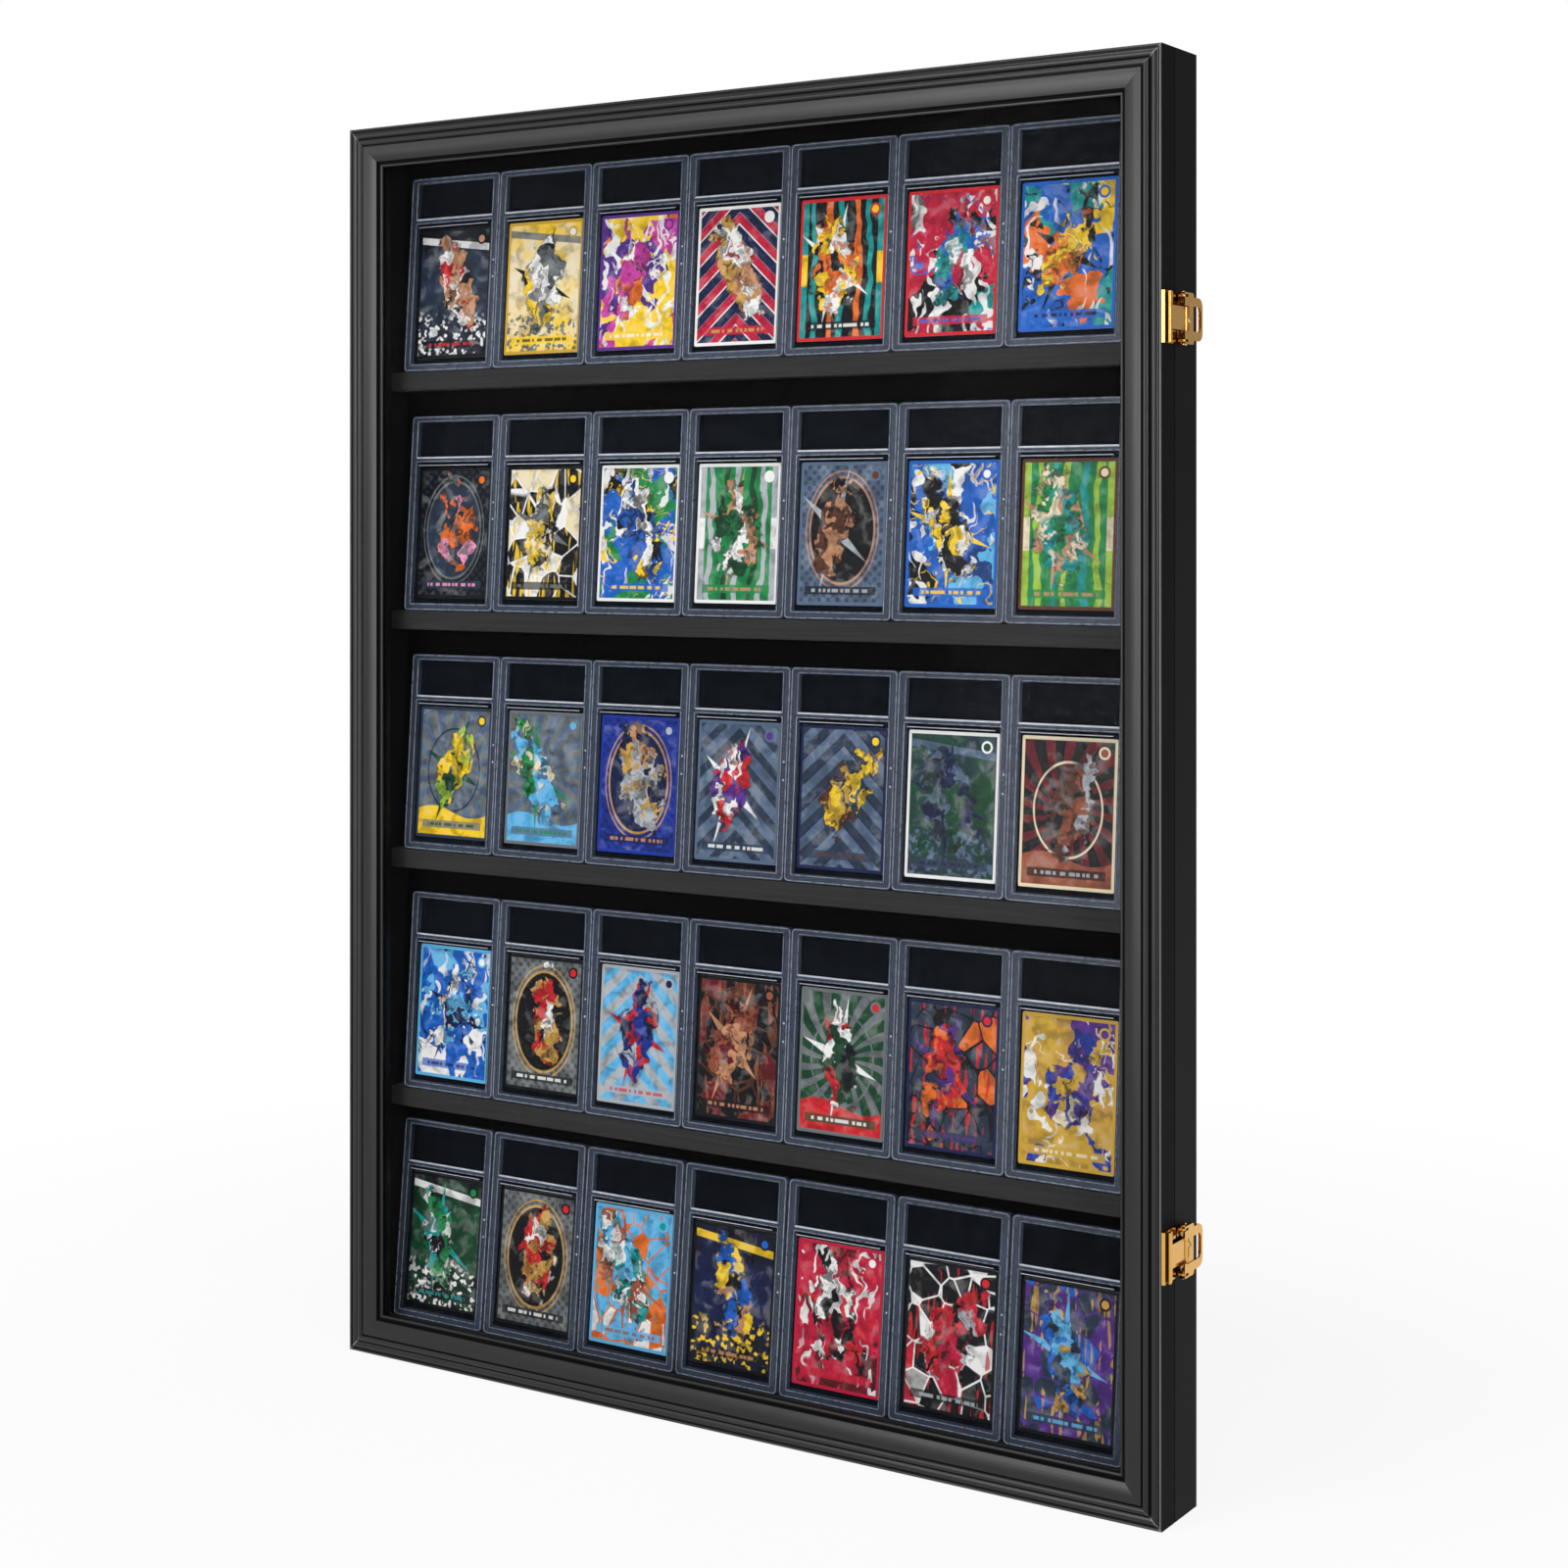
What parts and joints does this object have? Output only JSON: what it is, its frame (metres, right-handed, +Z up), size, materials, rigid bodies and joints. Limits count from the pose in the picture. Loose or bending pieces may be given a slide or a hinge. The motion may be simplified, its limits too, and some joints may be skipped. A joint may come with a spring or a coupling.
{
  "type": "trading card display case",
  "caption": "Shallow wall display case with shelves of clear card holders behind a hinged glazed door, held shut by draw latches.",
  "frame": {"origin": "centre of the case's back, in the plane that lies against the wall", "axes": "+X to the viewer's right, -Y towards the viewer and out of the door, +Z up"},
  "size_m": [0.6511, 0.052, 0.882],
  "materials": {
    "case_wood": "satin black",
    "door_wood": "satin black",
    "shelf_wood": "satin black",
    "back_board": "matt black",
    "beading": "satin black",
    "felt": "felt",
    "pane": "clear",
    "hinge_gold": "polished",
    "latch_gold": "polished",
    "latch_screws": "polished",
    "hanger_steel": "plated",
    "holder_back": "clear",
    "holder_front": "clear",
    "card": "gloss laminate"
  },
  "bodies": {
    "case": {"case_left_side": "case_wood", "case_right_side": "case_wood", "case_top": "case_wood", "case_bottom": "case_wood", "back_panel": "back_board", "back_lining": "felt", "base_riser": "shelf_wood", "shelf_1": "shelf_wood", "shelf_2": "shelf_wood", "shelf_3": "shelf_wood", "shelf_4": "shelf_wood", "keyhole_plate_left": "hanger_steel", "keyhole_plate_right": "hanger_steel", "keyhole_plate_screws": "hanger_steel", "upper_hinge_case_leaf": "hinge_gold", "lower_hinge_case_leaf": "hinge_gold", "hinge_pins": "hinge_gold", "hinge_case_screws": "hinge_gold", "upper_latch_base": "latch_gold", "lower_latch_base": "latch_gold", "latch_base_screws": "latch_screws", "latch_rivets": "latch_screws", "holder_backs_1": "holder_back", "holder_backs_2": "holder_back", "holder_backs_3": "holder_back", "holder_backs_4": "holder_back", "holder_backs_5": "holder_back", "holder_fronts_1": "holder_front", "holder_fronts_2": "holder_front", "holder_fronts_3": "holder_front", "holder_fronts_4": "holder_front", "holder_fronts_5": "holder_front", "cards_1": "card", "cards_2": "card", "cards_3": "card", "cards_4": "card", "cards_5": "card"},
    "door": {"door_left_stile": "door_wood", "door_right_stile": "door_wood", "door_top_rail": "door_wood", "door_bottom_rail": "door_wood", "door_pane": "pane", "door_beading": "beading", "upper_hinge_door_leaf": "hinge_gold", "lower_hinge_door_leaf": "hinge_gold", "hinge_door_screws": "hinge_gold", "upper_catch": "latch_gold", "lower_catch": "latch_gold", "catch_screws": "latch_screws"},
    "upper_lever_body": {"upper_lever": "latch_gold", "upper_link_pin": "latch_screws"},
    "lower_lever_body": {"lower_lever": "latch_gold", "lower_link_pin": "latch_screws"},
    "upper_link_body": {"upper_link": "latch_gold"},
    "lower_link_body": {"lower_link": "latch_gold"}
  },
  "joints": [
    {"name": "door_hinge", "type": "hinge", "parent": "case", "child": "door", "pos_m": [-0.3225, -0.0316, 0], "axis": [0, 0, -1], "range_deg": [0, 170]},
    {"name": "upper_lever_pivot", "type": "hinge", "parent": "case", "child": "upper_lever_body", "pos_m": [0.3242, -0.029, 0.279], "axis": [0, 0, -1], "range_deg": [0, 110]},
    {"name": "upper_link_pivot", "type": "hinge", "parent": "upper_lever_body", "child": "upper_link_body", "pos_m": [0.3229, -0.023, 0.279], "axis": [0, 0, -1], "range_deg": [-132, 0]},
    {"name": "lower_lever_pivot", "type": "hinge", "parent": "case", "child": "lower_lever_body", "pos_m": [0.3242, -0.029, -0.279], "axis": [0, 0, -1], "range_deg": [0, 110]},
    {"name": "lower_link_pivot", "type": "hinge", "parent": "lower_lever_body", "child": "lower_link_body", "pos_m": [0.3229, -0.023, -0.279], "axis": [0, 0, -1], "range_deg": [-132, 0]}
  ],
  "couplings": [
    {"joint": "upper_link_pivot", "follows": "upper_lever_pivot", "ratio": -1.2},
    {"joint": "lower_link_pivot", "follows": "lower_lever_pivot", "ratio": -1.2}
  ]
}
